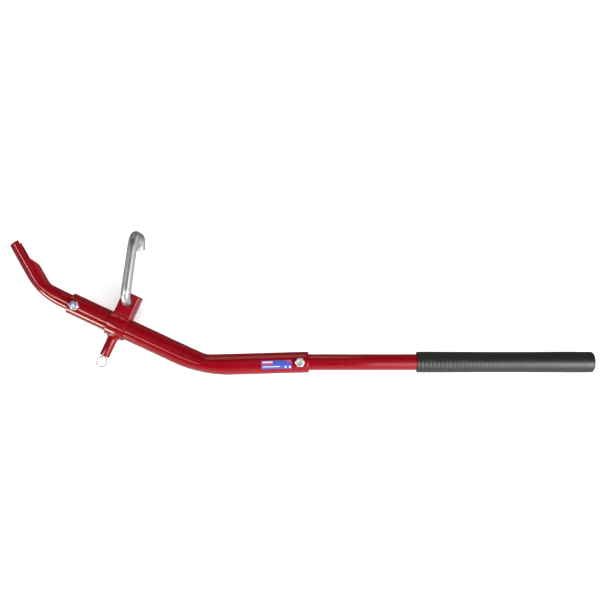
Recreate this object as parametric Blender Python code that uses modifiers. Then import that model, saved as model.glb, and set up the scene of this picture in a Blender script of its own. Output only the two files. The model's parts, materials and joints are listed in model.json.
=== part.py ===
"""Suspension arm lever, lying on its side: a bent tube with a trough-shaped toe at one end and a
gripped handle at the other. A collar slides along the inclined arm, locked by a spring plunger,
and carries a round-bar hook that swings in a bracket.

Metres, +Z up. The handle lies along +X, the hook points along +Y, and the origin is the middle of
the underside of the whole tool's box.
"""

import math

import bmesh
import bpy
from mathutils import Matrix, Vector

# Clearances, all round
GAP = 0.0003  # between pieces that touch
BOLT_PLAY = 0.0003  # of a bolt in its hole
TUBE_PLAY = 0.0015  # of the toe and the handle in the lever
SLEEVE_PLAY = 0.0004  # of the lever in the sleeve
PIVOT_PLAY = 0.0015  # of the hook in its bracket
NOSE_PLAY = 0.0005  # of the plunger's nose in its holes
TAIL_PLAY = 0.0003  # of the plunger's tail in its bush
RING_PLAY = 0.0006  # of the pull ring in the tail
SPLIT_PIN_PLAY = 0.0004

# Lever tube: the arm and the socket are its two straight legs, measured from the bend's vertex
LEVER_OD = 0.042
LEVER_WALL = 0.0035
ARM_LENGTH = 0.293
SOCKET_LENGTH = 0.210
LEVER_BEND = math.radians(26.7)
LEVER_BEND_RADIUS = 0.265  # of the outer side
SOCKET_SLOPE = math.radians(1.65)  # play between the socket and the handle in it

# Toe tube: its shank runs from the toe bolt to its bend, its tip from there to the end
TOE_WALL = 0.0032
TOE_TILT = math.radians(0.95)
TOE_BEND = math.radians(34.9)
TOE_BEND_RADIUS = 0.142
TOE_SHANK = 0.0746
TOE_TIP = 0.1084
TOE_INSERT = 0.045  # behind the bolt
TOE_BOLT_FROM_END = 0.0145
TROUGH_DEPTH = 0.0117  # cut off the inner side of the bend
TROUGH_TURN = math.radians(-8)  # about the tip, so that its front wall stands higher
TROUGH_FLAT = 0.0335
TROUGH_RAMP = 0.029

# Handle tube and grip
HANDLE_WALL = 0.003
HANDLE_BOLT_FROM_END = 0.0175
HANDLE_BOLT_RISE = 0.0004  # its hole is drilled this far off the socket's axis
HANDLE_INSERT = 0.038  # behind the bolt
HANDLE_REACH = 0.5857  # from the bolt to the handle's free end
GRIP_LENGTH = 0.3523
GRIP_WALL = 0.005
GRIP_END = 0.0105  # thickness of the closed end
GRIP_WAIST = 0.0005  # its wall is this much thinner halfway
GRIP_CORNER = 0.005

# M10 fasteners
BOLT_DIAMETER = 0.010
BOLT_POINT = 0.0013  # chamfer of its end
HEX_FLATS = 0.017
HEX_CHAMFER = 0.00034  # how far inside the flats the round chamfer ends
HEX_CHAMFER_SLOPE = math.radians(35)
HEAD_HEIGHT = 0.0064
NUT_HEX_HEIGHT = 0.008
NUT_COLLAR_HEIGHT = 0.0026
NUT_COLLAR_WALL = 0.0013  # outside the nylon ring
NUT_COLLAR_CHAMFER = 0.0009
INSERT_WALL = 0.0013
INSERT_DEPTH = 0.0024
THREAD_SHOWING = 0.002
HEX_TURN_TOE = math.radians(12)
HEX_TURN_HANDLE = math.radians(28)

# Label
LABEL_LENGTH = 0.061
LABEL_HEIGHT = 0.0188
LABEL_THICKNESS = 0.0003
LABEL_TO_BOLT = 0.016
LABEL_TURN = math.radians(-8)

# Collar, with heights from the sleeve's skin
COLLAR_FROM_VERTEX = 0.1877
SLEEVE_LENGTH = 0.0383
SLEEVE_WALL = 0.0041
BRACKET_WIDTH = 0.0365
BRACKET_DEPTH = 0.036
BRACKET_WALL = 0.0035
BRACKET_CORNER = 0.0045
BRACKET_HEIGHT = 0.0425
PIVOT_HEIGHT = 0.0255
PIVOT_SHIFT = 0.0015  # towards the toe from the bracket's middle
WELD_RADIUS = 0.002

# Plunger, with heights from the sleeve's skin
BARREL_OD = 0.020
BARREL_BORE = 0.014
BARREL_HEIGHT = 0.042
BARREL_CHAMFER = 0.0008
BARREL_WELD_WIDTH = 0.0042
BARREL_WELD_HEIGHT = 0.0065
BARREL_WELD_LIP = 0.0004  # its thickness at the top
PIN_NOSE = 0.008
PIN_NOSE_ROUND = 0.0015
SHOULDER_HEIGHT = 0.0055
SHOULDER_THICKNESS = 0.004
PIN_TAIL = 0.006
PIN_TAIL_CHAMFER = 0.0006
TAIL_HOLE_FROM_BARREL = 0.0023
TAIL_BEYOND_HOLE = 0.0027
BUSH_LENGTH = 0.008
BUSH_RECESS = 0.0005
SPRING_WIRE = 0.0012
SPRING_TURNS = 6.5
RING_WIRE = 0.002
RING_OD = 0.0225
INDEX_PITCH = 0.025
INDEX_HOLES = 7
INDEX_OFFSET = 4.5  # pitches from the plunger to the first hole, so that it stands between two

# Hook, bent from one bar
HOOK_BAR = 0.019
HOOK_LEAN = math.radians(16.9)  # from square to the arm, towards the toe
HOOK_SHANK_RISE = 0.0145  # of the shank's underside above the bracket's front
HOOK_REACH = 0.131  # from the pivot to the top leg's axis
HOOK_BEND = 0.022  # radius of the bar's axis
HOOK_LEG_DROP = 0.010  # of the top leg's straight part below the lever's axis
HOOK_TIP_TURN = math.radians(62)
HOOK_TIP_LENGTH = 0.010
HOOK_BEYOND_PIN = 0.0078
WASHER_OD = 0.034
WASHER_THICKNESS = 0.0025
SPLIT_PIN = 0.0032
SPLIT_PIN_STICKS_OUT = 0.0035
SPLIT_PIN_LEG = (0.004, 0.005)  # how far its legs run on and aside
SPLIT_PIN_EYE = 0.0042
SPLIT_PIN_EYE_TURN = math.radians(290)

TUBE_SIDES = 32
SMALL_SIDES = 24
BEND_STEPS = 10
BEND_SOFTNESS = math.radians(2)  # of the kink on the inner side
PAST = 0.001  # how far a cutter runs past what it cuts

LEVER_RADIUS = LEVER_OD / 2
LEVER_BORE = LEVER_OD - 2 * LEVER_WALL
TOE_OD = LEVER_BORE - 2 * TUBE_PLAY
HANDLE_OD = LEVER_BORE - 2 * TUBE_PLAY
ARM_SLOPE = LEVER_BEND - SOCKET_SLOPE
TOE_BOLT_X = ARM_LENGTH - TOE_BOLT_FROM_END
SOCKET_BOLT = SOCKET_LENGTH - HANDLE_BOLT_FROM_END
HANDLE_BOLT_AT = (
    SOCKET_BOLT * math.cos(LEVER_BEND) - HANDLE_BOLT_RISE * math.sin(LEVER_BEND),
    SOCKET_BOLT * math.sin(LEVER_BEND) + HANDLE_BOLT_RISE * math.cos(LEVER_BEND),
    0,
)
LABEL_X = SOCKET_BOLT - LABEL_TO_BOLT - LABEL_LENGTH

BOLT_HOLE = BOLT_DIAMETER + 2 * BOLT_PLAY
BOLT_SEAT = LEVER_RADIUS + GAP
INSERT_OD = BOLT_DIAMETER + 2 * INSERT_WALL
NUT_COLLAR_DIAMETER = INSERT_OD + 2 * NUT_COLLAR_WALL

SLEEVE_RADIUS = LEVER_RADIUS + SLEEVE_PLAY + SLEEVE_WALL
BRACKET_X = (SLEEVE_LENGTH - BRACKET_WIDTH) / 2
BRACKET_TOP = SLEEVE_RADIUS + BRACKET_HEIGHT
PIVOT_AT = (BRACKET_X - PIVOT_SHIFT, SLEEVE_RADIUS + PIVOT_HEIGHT, 0)

BARREL_END = SLEEVE_RADIUS + BARREL_HEIGHT
SHOULDER_NEAR = SLEEVE_RADIUS + SHOULDER_HEIGHT
SHOULDER_FAR = SHOULDER_NEAR + SHOULDER_THICKNESS
SHOULDER_RADIUS = BARREL_BORE / 2 - GAP
BUSH_HIGH = BARREL_END - BUSH_RECESS
BUSH_LOW = BUSH_HIGH - BUSH_LENGTH
TAIL_HOLE_AT = BARREL_END + TAIL_HOLE_FROM_BARREL

WASHER_HIGH = -BRACKET_DEPTH / 2 - GAP
WASHER_LOW = WASHER_HIGH - WASHER_THICKNESS
SPLIT_PIN_AT = WASHER_LOW - GAP - SPLIT_PIN / 2
SHANK_AT = BRACKET_DEPTH / 2 + HOOK_SHANK_RISE + HOOK_BAR / 2

ALONG_X = (0, math.pi / 2, 0)  # turns a piece from along Z to along X

# Finishes: name, colour, roughness, metallic
RED_PAINT = ("red_paint", (0.27, 0.004, 0.012), 0.22, 0.0)
ZINC = ("zinc", (0.62, 0.63, 0.64), 0.30, 1.0)
RUBBER = ("black_rubber", (0.030, 0.030, 0.031), 0.55, 0.0)
NYLON = ("blue_nylon", (0.05, 0.09, 0.45), 0.45, 0.0)
VINYL = ("blue_vinyl", (0.02, 0.07, 0.33), 0.35, 0.0)
SPRING_STEEL = ("spring_steel", (0.32, 0.32, 0.33), 0.35, 1.0)


def clear_scene():
    for obj in list(bpy.data.objects):
        bpy.data.objects.remove(obj, do_unlink=True)


def collection(name):
    made = bpy.data.collections.new(name)
    bpy.context.scene.collection.children.link(made)
    return made


def material(finish):
    name, colour, roughness, metallic = finish
    found = bpy.data.materials.get(name)
    if found:
        return found
    made = bpy.data.materials.new(name)
    made.use_nodes = True
    shader = made.node_tree.nodes["Principled BSDF"]
    shader.inputs["Base Color"].default_value = (*colour, 1.0)
    shader.inputs["Roughness"].default_value = roughness
    shader.inputs["Metallic"].default_value = metallic
    return made


def frame(name, parent=None, location=(0, 0, 0), turn=0.0):
    """An empty, turned about Z, that holds the pieces placed from it."""
    empty = bpy.data.objects.new(name, None)
    empty.location = location
    empty.rotation_euler = (0, 0, turn)
    empty.parent = parent
    PARTS.objects.link(empty)
    return empty


def place(name, data, parent, location=(0, 0, 0), rotation=(0, 0, 0), finish=None):
    """An object of the tool, or a cutter where it has no finish."""
    obj = bpy.data.objects.new(name, data)
    obj.parent = parent
    obj.location = location
    obj.rotation_euler = rotation
    if finish:
        PARTS.objects.link(obj)
        data.materials.append(material(finish))
    else:
        CUTTERS.objects.link(obj)
        obj.hide_render = True
        obj.display_type = "WIRE"
    return obj


def combine(target, other, operation="DIFFERENCE"):
    modifier = target.modifiers.new(other.name, "BOOLEAN")
    modifier.operation = operation
    modifier.solver = "EXACT"
    modifier.object = other


def mesh_from(name, bm):
    bmesh.ops.recalc_face_normals(bm, faces=bm.faces)
    mesh = bpy.data.meshes.new(name)
    bm.to_mesh(mesh)
    bm.free()
    mesh.shade_smooth()
    mesh.set_sharp_from_angle(angle=math.radians(35))
    return mesh


def cylinder(name, diameter, length, sides=SMALL_SIDES):
    """A solid cylinder about Z, centred on the origin."""
    bm = bmesh.new()
    bmesh.ops.create_cone(
        bm, cap_ends=True, segments=sides, radius1=diameter / 2, radius2=diameter / 2, depth=length
    )
    return mesh_from(name, bm)


def turned(name, profile, parent, location=(0, 0, 0), rotation=(0, 0, 0), finish=None,
           sides=SMALL_SIDES, closed=False):
    """A profile of (radius, height) points, top to bottom on its outer side, turned about Z."""
    mesh = bpy.data.meshes.new(name)
    edges = [(i, i + 1) for i in range(len(profile) - 1)]
    if closed:
        edges.append((len(profile) - 1, 0))
    mesh.from_pydata([(radius, 0, height) for radius, height in profile], edges, [])
    obj = place(name, mesh, parent, location, rotation, finish)
    screw = obj.modifiers.new("turn", "SCREW")
    screw.steps = sides
    screw.render_steps = sides
    screw.use_merge_vertices = True
    screw.merge_threshold = 0.00001
    screw.use_smooth_shade = True
    return obj


def ring_profile(inner, outer, low, high):
    return [(outer, high), (outer, low), (inner, low), (inner, high)]


def extruded(name, outlines, half_thickness, parent, location=(0, 0, 0), rotation=(0, 0, 0), finish=None):
    """Flat closed outlines, the later ones holes in the first, extruded both ways along Z."""
    curve = bpy.data.curves.new(name, "CURVE")
    curve.dimensions = "2D"
    curve.fill_mode = "BOTH"
    curve.extrude = half_thickness
    for outline in outlines:
        spline = curve.splines.new("POLY")
        spline.points.add(len(outline) - 1)
        for point, (x, y) in zip(spline.points, outline):
            point.co = (x, y, 0, 1)
        spline.use_cyclic_u = True
    return place(name, meshed(name, curve), parent, location, rotation, finish)


def bar(name, points, diameter, resolution):
    """A round bar along the points, as a closed mesh."""
    curve = bpy.data.curves.new(name, "CURVE")
    curve.dimensions = "3D"
    curve.bevel_depth = diameter / 2
    curve.bevel_resolution = resolution
    curve.use_fill_caps = True
    spline = curve.splines.new("POLY")
    spline.points.add(len(points) - 1)
    for point, place_at in zip(spline.points, points):
        point.co = (*place_at, 1)
    return meshed(name, curve)


def meshed(name, curve):
    """The curve's mesh, with its caps welded to its sides."""
    guide = bpy.data.objects.new(name + "_guide", curve)
    bpy.context.scene.collection.objects.link(guide)
    graph = bpy.context.evaluated_depsgraph_get()
    mesh = bpy.data.meshes.new_from_object(guide.evaluated_get(graph))
    bpy.data.objects.remove(guide)
    bm = bmesh.new()
    bm.from_mesh(mesh)
    bmesh.ops.remove_doubles(bm, verts=bm.verts, dist=0.00001)
    return mesh_from(name, bm)


def arc(centre, radius, start, end, steps):
    """Points of an arc in a plane, from one angle to another."""
    turn = (end - start) / steps
    return [
        (centre[0] + radius * math.cos(start + turn * i), centre[1] + radius * math.sin(start + turn * i))
        for i in range(steps + 1)
    ]


def rounded_rectangle(width, height, corner, steps=4):
    points = []
    for quarter, (side_x, side_y) in enumerate(((1, 1), (-1, 1), (-1, -1), (1, -1))):
        centre = (side_x * (width / 2 - corner), side_y * (height / 2 - corner))
        start = quarter * math.pi / 2
        points += arc(centre, corner, start, start + math.pi / 2, steps)
    return points


def bent_sections(radius, leg_a, leg_b, bend, outer_radius):
    """Sections of a tube from -X through a bend at the origin, turning to +Y: for each, its middle,
    the direction to the inner side, and its half height and half width. The inner side of the bend is
    two straight lines that meet in a kink, the outer side an arc, and the tube widens where it is
    squashed, so that its skin keeps its length."""
    tangent = (outer_radius - radius) * math.tan(bend / 2)
    hub = Vector((-tangent, outer_radius - radius, 0))
    inner = outer_radius - 2 * radius
    sections = [(Vector((-leg_a, 0, 0)), Vector((0, 1, 0)), radius, radius)]
    slack = math.hypot(bend / 2, BEND_SOFTNESS) - bend / 2
    for i in range(BEND_STEPS + 1):
        turn = bend * i / BEND_STEPS
        from_end = bend / 2 + slack - math.hypot(turn - bend / 2, BEND_SOFTNESS)
        away = Vector((math.sin(turn), -math.cos(turn), 0))
        near = inner / math.cos(from_end)
        half_height = (outer_radius - near) / 2
        half_width = math.sqrt(2 * radius**2 - half_height**2)
        sections.append((hub + away * (outer_radius + near) / 2, -away, half_height, half_width))
    end = Vector((math.cos(bend), math.sin(bend), 0)) * leg_b
    sections.append((end, Vector((-math.sin(bend), math.cos(bend), 0)), radius, radius))
    return sections


def bent_tube(name, diameter, wall, leg_a, leg_b, bend, outer_radius):
    """A tube open at both ends, lofted through its bend."""
    bm = bmesh.new()
    skins = []
    for inset in (0, wall):
        rings = []
        for middle, inward, high, wide in bent_sections(diameter / 2, leg_a, leg_b, bend, outer_radius):
            ring = []
            for i in range(TUBE_SIDES):
                angle = 2 * math.pi * i / TUBE_SIDES
                offset = inward * (high - inset) * math.cos(angle)
                offset += Vector((0, 0, (wide - inset) * math.sin(angle)))
                ring.append(bm.verts.new(middle + offset))
            rings.append(ring)
        skins.append(rings)
    for rings in skins:
        for ring, following in zip(rings, rings[1:]):
            join_rings(bm, ring, following)
    for end in (0, -1):
        join_rings(bm, skins[0][end], skins[1][end])
    return mesh_from(name, bm)


def join_rings(bm, ring, other):
    for i in range(len(ring)):
        j = (i + 1) % len(ring)
        bm.faces.new((ring[i], ring[j], other[j], other[i]))


def cross_hole(name, target, parent, location, diameter, length):
    """A hole along Z."""
    combine(target, place(name, cylinder(name, diameter, length), parent, location))


def make_lever(arm):
    lever = place(
        "lever_tube",
        bent_tube("lever_tube", LEVER_OD, LEVER_WALL, ARM_LENGTH, SOCKET_LENGTH, LEVER_BEND,
                  LEVER_BEND_RADIUS),
        arm, finish=RED_PAINT,
    )
    cross_hole("toe_bolt_hole", lever, arm, (-TOE_BOLT_X, 0, 0), BOLT_HOLE, 2 * LEVER_OD)
    cross_hole("handle_bolt_hole", lever, arm, HANDLE_BOLT_AT, BOLT_HOLE, 2 * LEVER_OD)
    for i in range(INDEX_HOLES):
        name = f"index_hole_{i + 1}"
        at = (-COLLAR_FROM_VERTEX + INDEX_PITCH * (INDEX_OFFSET - i), -LEVER_RADIUS, 0)
        hole = cylinder(name, PIN_NOSE + 2 * NOSE_PLAY, LEVER_RADIUS)
        combine(lever, place(name, hole, arm, at, (math.pi / 2, 0, 0)))


def trough_outline():
    """The part of the toe's tip that is cut away: from past its end to where the ramp meets the skin."""
    top = 2 * TOE_OD
    floor = TOE_OD / 2 - TROUGH_DEPTH
    points = [(-TOE_OD, top), (-TOE_OD, floor), (TROUGH_FLAT, floor)]
    steps = 10
    for i in range(1, steps + 1):
        share = i / steps
        rise = TROUGH_DEPTH * share**2 * (3 - 2 * share)
        points.append((TROUGH_FLAT + TROUGH_RAMP * share, floor + rise))
    points.append((TROUGH_FLAT + TROUGH_RAMP, top))
    return points


def make_toe(arm):
    """Its frame points to the toe, with +Y still towards the hook's side, so Z turns over."""
    bolt = frame("toe_frame", arm, (-TOE_BOLT_X, 0, 0), math.pi - TOE_TILT)
    flip = (math.pi, 0, 0)
    toe = place(
        "toe_tube",
        bent_tube("toe_tube", TOE_OD, TOE_WALL, TOE_SHANK + TOE_INSERT, TOE_TIP, TOE_BEND, TOE_BEND_RADIUS),
        bolt, (TOE_SHANK, 0, 0), flip, RED_PAINT,
    )
    cross_hole("toe_hole", toe, bolt, (0, 0, 0), BOLT_HOLE, 2 * TOE_OD)
    tip = Vector((TOE_SHANK, 0, 0)) + Vector((math.cos(TOE_BEND), -math.sin(TOE_BEND), 0)) * TOE_TIP
    cutter = extruded("toe_trough", [trough_outline()], TOE_OD, bolt, tip,
                      (TROUGH_TURN, 0, math.pi - TOE_BEND))
    combine(toe, cutter)


def hexagon(name, height, parent, location, turn, finish=None):
    """A hexagonal prism from Z 0 up, its upper corners chamfered."""
    across_corners = HEX_FLATS / math.cos(math.pi / 6)
    blank = cylinder(name, across_corners, height, 6)
    blank.transform(Matrix.Rotation(turn, 4, "Z") @ Matrix.Translation((0, 0, height / 2)))
    hexagonal = place(name, blank, parent, location, finish=finish)
    inner = HEX_FLATS / 2 - HEX_CHAMFER
    outer = across_corners / 2 + PAST
    top = height + PAST
    drop = (outer - inner) * math.tan(HEX_CHAMFER_SLOPE)
    rise = PAST / math.tan(HEX_CHAMFER_SLOPE)
    profile = [(0, top), (inner - rise, top), (outer, height - drop), (outer, -PAST), (0, -PAST)]
    cone = turned(name + "_chamfer", profile, parent, location, sides=TUBE_SIDES)
    combine(hexagonal, cone, "INTERSECT")
    return hexagonal


def make_bolt(name, parent, location, side, turn):
    """Along Z through the lever: the head on the side given, +1 above or -1 below, the nut opposite."""
    holder = frame(name + "_frame", parent, location)
    holder.rotation_euler = (0, 0, 0) if side > 0 else (math.pi, 0, 0)
    head = hexagon(name + "_bolt", HEAD_HEIGHT, holder, (0, 0, BOLT_SEAT), turn, ZINC)
    top = BOLT_SEAT + NUT_HEX_HEIGHT + NUT_COLLAR_HEIGHT
    tip = -top - THREAD_SHOWING
    in_head = BOLT_SEAT + HEAD_HEIGHT / 2
    radius = BOLT_DIAMETER / 2
    shank_profile = [
        (0, in_head), (radius, in_head), (radius, tip + BOLT_POINT), (radius - BOLT_POINT, tip), (0, tip),
    ]
    combine(head, turned(name + "_shank", shank_profile, holder), "UNION")

    under = frame(name + "_nut_frame", holder, (0, 0, 0))
    under.rotation_euler = (math.pi, 0, 0)
    nut = hexagon(name + "_nut", NUT_HEX_HEIGHT, under, (0, 0, BOLT_SEAT), turn, ZINC)
    collar = NUT_COLLAR_DIAMETER / 2
    in_nut = BOLT_SEAT + NUT_HEX_HEIGHT / 2
    collar_profile = [
        (0, top), (collar - NUT_COLLAR_CHAMFER, top), (collar, top - NUT_COLLAR_CHAMFER), (collar, in_nut),
        (0, in_nut),
    ]
    combine(nut, turned(name + "_nut_collar", collar_profile, under), "UNION")
    cross_hole(name + "_nut_bore", nut, under, (0, 0, top), BOLT_DIAMETER + 2 * GAP, 2 * top)
    pocket = cylinder(name + "_nut_pocket", INSERT_OD + 2 * GAP, 2 * (INSERT_DEPTH + GAP))
    combine(nut, place(name + "_nut_pocket", pocket, under, (0, 0, top)))
    ring = ring_profile(BOLT_DIAMETER / 2 + GAP, INSERT_OD / 2, top - INSERT_DEPTH, top - GAP)
    turned(name + "_nut_insert", ring, under, finish=NYLON, closed=True)


def make_handle(arm):
    """The handle tube turns about its bolt until it lies along X."""
    handle = frame("handle_frame", arm, HANDLE_BOLT_AT, ARM_SLOPE)
    tube_end = HANDLE_REACH - GRIP_END - GAP
    bore = HANDLE_OD / 2 - HANDLE_WALL
    tube = turned(
        "handle_tube", ring_profile(bore, HANDLE_OD / 2, -HANDLE_INSERT, tube_end), handle,
        rotation=ALONG_X, finish=RED_PAINT, sides=TUBE_SIDES, closed=True,
    )
    cross_hole("handle_hole", tube, handle, (0, 0, 0), BOLT_HOLE, 2 * HANDLE_OD)
    turned("handle_grip", grip_profile(), handle, rotation=ALONG_X, finish=RUBBER, sides=TUBE_SIDES)


def grip_profile():
    """From the middle of its closed end, out and down its waisted side, round the lip and up the bore."""
    inner = HANDLE_OD / 2 + GAP
    outer = HANDLE_OD / 2 + GRIP_WALL
    start = HANDLE_REACH - GRIP_LENGTH
    points = [(0, HANDLE_REACH)]
    flat = outer - GRIP_CORNER
    corner = arc((flat, HANDLE_REACH - GRIP_CORNER), GRIP_CORNER, math.pi / 2, 0, 5)
    points += corner[:-1]
    steps = 12
    for i in range(steps + 1):
        share = i / steps
        height = HANDLE_REACH - GRIP_CORNER - (GRIP_LENGTH - GRIP_CORNER) * share
        points.append((outer - GRIP_WAIST * math.sin(math.pi * share) ** 2, height))
    points.append((inner, start))
    points.append((inner, HANDLE_REACH - GRIP_END))
    points.append((0, HANDLE_REACH - GRIP_END))
    return points


def make_label(arm):
    """A sticker wrapped on the front of the socket leg."""
    bm = bmesh.new()
    rows = 10
    radius = LEVER_RADIUS + GAP
    sweep = LABEL_HEIGHT / radius
    ends = []
    for x in (0, LABEL_LENGTH):
        angles = [LABEL_TURN + sweep * (j / rows - 0.5) for j in range(rows + 1)]
        ends.append([bm.verts.new((x, radius * math.sin(a), radius * math.cos(a))) for a in angles])
    near, far = ends
    for j in range(rows):
        bm.faces.new((near[j], far[j], far[j + 1], near[j + 1]))
    mesh = bpy.data.meshes.new("label")
    bm.to_mesh(mesh)
    bm.free()
    socket = frame("socket_frame", arm, (0, 0, 0), LEVER_BEND)
    label = place("label", mesh, socket, (LABEL_X, 0, 0), finish=VINYL)
    solid = label.modifiers.new("thickness", "SOLIDIFY")
    solid.thickness = LABEL_THICKNESS
    solid.offset = 1


def make_collar(arm):
    """The sliding collar's frame has +X to the handle, +Y to the hook and its origin on the lever's axis."""
    collar = frame("collar_frame", arm, (-COLLAR_FROM_VERTEX, 0, 0))
    bore = LEVER_RADIUS + SLEEVE_PLAY
    sleeve = turned(
        "collar_sleeve", ring_profile(bore, SLEEVE_RADIUS, -SLEEVE_LENGTH / 2, SLEEVE_LENGTH / 2), collar,
        rotation=ALONG_X, finish=RED_PAINT, sides=TUBE_SIDES, closed=True,
    )
    nose_hole = cylinder("nose_hole", PIN_NOSE + 2 * NOSE_PLAY, 2 * SLEEVE_RADIUS)
    combine(sleeve, place("nose_hole", nose_hole, collar, (0, -SLEEVE_RADIUS, 0), (math.pi / 2, 0, 0)))
    saddle = cylinder("saddle", 2 * (SLEEVE_RADIUS + GAP), 3 * SLEEVE_LENGTH, TUBE_SIDES)
    saddle_cutter = place("saddle", saddle, collar, (0, 0, 0), ALONG_X)
    make_bracket(collar, saddle_cutter)
    make_plunger(collar, saddle_cutter)
    return collar


def make_bracket(collar, saddle_cutter):
    """A piece of square tube standing on the sleeve, its right side flush with the sleeve's end."""
    outlines = [
        rounded_rectangle(BRACKET_WIDTH, BRACKET_DEPTH, BRACKET_CORNER),
        rounded_rectangle(
            BRACKET_WIDTH - 2 * BRACKET_WALL, BRACKET_DEPTH - 2 * BRACKET_WALL,
            BRACKET_CORNER - BRACKET_WALL,
        ),
    ]
    foot = SLEEVE_RADIUS / 2
    bracket = extruded(
        "hook_bracket", outlines, (BRACKET_TOP - foot) / 2, collar,
        (BRACKET_X, (BRACKET_TOP + foot) / 2, 0), (-math.pi / 2, 0, 0), RED_PAINT,
    )
    combine(bracket, saddle_cutter)
    cross_hole("pivot_hole", bracket, collar, PIVOT_AT, HOOK_BAR + 2 * PIVOT_PLAY, 2 * BRACKET_DEPTH)
    reach = SLEEVE_RADIUS + GAP + WELD_RADIUS
    bead_z = BRACKET_DEPTH / 2 + GAP + WELD_RADIUS
    bead_y = math.sqrt(reach**2 - bead_z**2)
    half = BRACKET_WIDTH / 2 - WELD_RADIUS
    for name, side in (("front", 1), ("back", -1)):
        at = (BRACKET_X, bead_y, side * bead_z)
        bead = bar(f"bracket_weld_{name}", [(-half, 0, 0), (half, 0, 0)], 2 * WELD_RADIUS, 3)
        place(f"bracket_weld_{name}", bead, collar, at, finish=RED_PAINT)


def make_plunger(collar, saddle_cutter):
    """Pieces turned about an axis that points away from the lever."""
    plunger = frame("plunger_frame", collar)
    plunger.rotation_euler = (math.pi / 2, 0, 0)
    foot = SLEEVE_RADIUS / 2
    outer = BARREL_OD / 2
    bore = BARREL_BORE / 2
    barrel_profile = [
        (bore, BARREL_END), (outer - BARREL_CHAMFER, BARREL_END), (outer, BARREL_END - BARREL_CHAMFER),
        (outer, foot), (bore, foot),
    ]
    barrel = turned(
        "plunger_barrel", barrel_profile, plunger, finish=RED_PAINT, sides=TUBE_SIDES, closed=True
    )
    combine(barrel, saddle_cutter)

    weld_top = SLEEVE_RADIUS + BARREL_WELD_HEIGHT
    inner = outer + GAP
    toe_of_weld = inner + BARREL_WELD_WIDTH
    weld_profile = [
        (inner, weld_top), (inner + BARREL_WELD_LIP, weld_top), (toe_of_weld, SLEEVE_RADIUS - PAST),
        (toe_of_weld, foot), (inner, foot),
    ]
    weld = turned("barrel_weld", weld_profile, plunger, finish=RED_PAINT, sides=TUBE_SIDES, closed=True)
    combine(weld, saddle_cutter)

    ring = ring_profile(PIN_TAIL / 2 + TAIL_PLAY, SHOULDER_RADIUS, BUSH_LOW, BUSH_HIGH)
    turned("plunger_bush", ring, plunger, finish=ZINC, closed=True)
    make_pin(plunger)
    make_spring(plunger)
    make_ring(plunger)


def make_pin(plunger):
    """Its rounded nose stands on the lever between two index holes."""
    nose = PIN_NOSE / 2
    tail = PIN_TAIL / 2
    nose_end = LEVER_RADIUS + GAP
    top = TAIL_HOLE_AT + TAIL_BEYOND_HOLE
    profile = [(0, top), (tail - PIN_TAIL_CHAMFER, top), (tail, top - PIN_TAIL_CHAMFER), (tail, SHOULDER_FAR)]
    profile += [(SHOULDER_RADIUS, SHOULDER_FAR), (SHOULDER_RADIUS, SHOULDER_NEAR), (nose, SHOULDER_NEAR)]
    corner = (nose - PIN_NOSE_ROUND, nose_end + PIN_NOSE_ROUND)
    profile += arc(corner, PIN_NOSE_ROUND, 0, -math.pi / 2, 4)
    profile.append((0, nose_end))
    pin = turned("plunger_pin", profile, plunger, finish=ZINC)
    hole = cylinder("tail_hole", RING_WIRE + 2 * RING_PLAY, 4 * PIN_TAIL)
    combine(pin, place("tail_hole", hole, plunger, (0, 0, TAIL_HOLE_AT), ALONG_X))


def make_spring(plunger):
    """Between the pin's shoulder and the bush, as wide as the shoulder."""
    low = SHOULDER_FAR + GAP + SPRING_WIRE / 2
    high = BUSH_LOW - GAP - SPRING_WIRE / 2
    radius = SHOULDER_RADIUS - SPRING_WIRE / 2
    per_turn = 12
    count = round(SPRING_TURNS * per_turn)
    points = []
    for i in range(count + 1):
        angle = 2 * math.pi * i / per_turn
        points.append((radius * math.cos(angle), radius * math.sin(angle), low + (high - low) * i / count))
    place("plunger_spring", bar("plunger_spring", points, SPRING_WIRE, 2), plunger, finish=SPRING_STEEL)


def make_ring(plunger):
    """A wire ring threaded through the tail, in the plane of the lever. Its origin is on its hinge."""
    hinge = frame("ring_frame", plunger, (0, 0, TAIL_HOLE_AT))
    mean = (RING_OD - RING_WIRE) / 2
    profile = arc((mean, 0), RING_WIRE / 2, 0, -2 * math.pi, 10)[:-1]
    flat = (math.pi / 2, 0, 0)
    turned("pull_ring", profile, hinge, (0, 0, mean), flat, ZINC, sides=TUBE_SIDES, closed=True)


def hook_points():
    """The bar's axis in the hook's own frame: Y along the shank, Z up, the pivot on the lower leg."""
    steps = 8
    hub = SHANK_AT - HOOK_BEND
    quarter = math.pi / 2
    path = [(0, SPLIT_PIN_AT - HOOK_BEYOND_PIN)]
    path += arc((HOOK_BEND, hub), HOOK_BEND, math.pi, quarter, steps)
    path += arc((HOOK_REACH - HOOK_BEND, hub), HOOK_BEND, quarter, 0, steps)
    path += arc((HOOK_REACH - HOOK_BEND, -HOOK_LEG_DROP), HOOK_BEND, 0, -HOOK_TIP_TURN, 6)
    y, z = path[-1]
    y -= HOOK_TIP_LENGTH * math.sin(HOOK_TIP_TURN)
    z -= HOOK_TIP_LENGTH * math.cos(HOOK_TIP_TURN)
    path.append((y, z))
    return [(0, y, z) for y, z in path]


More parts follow.
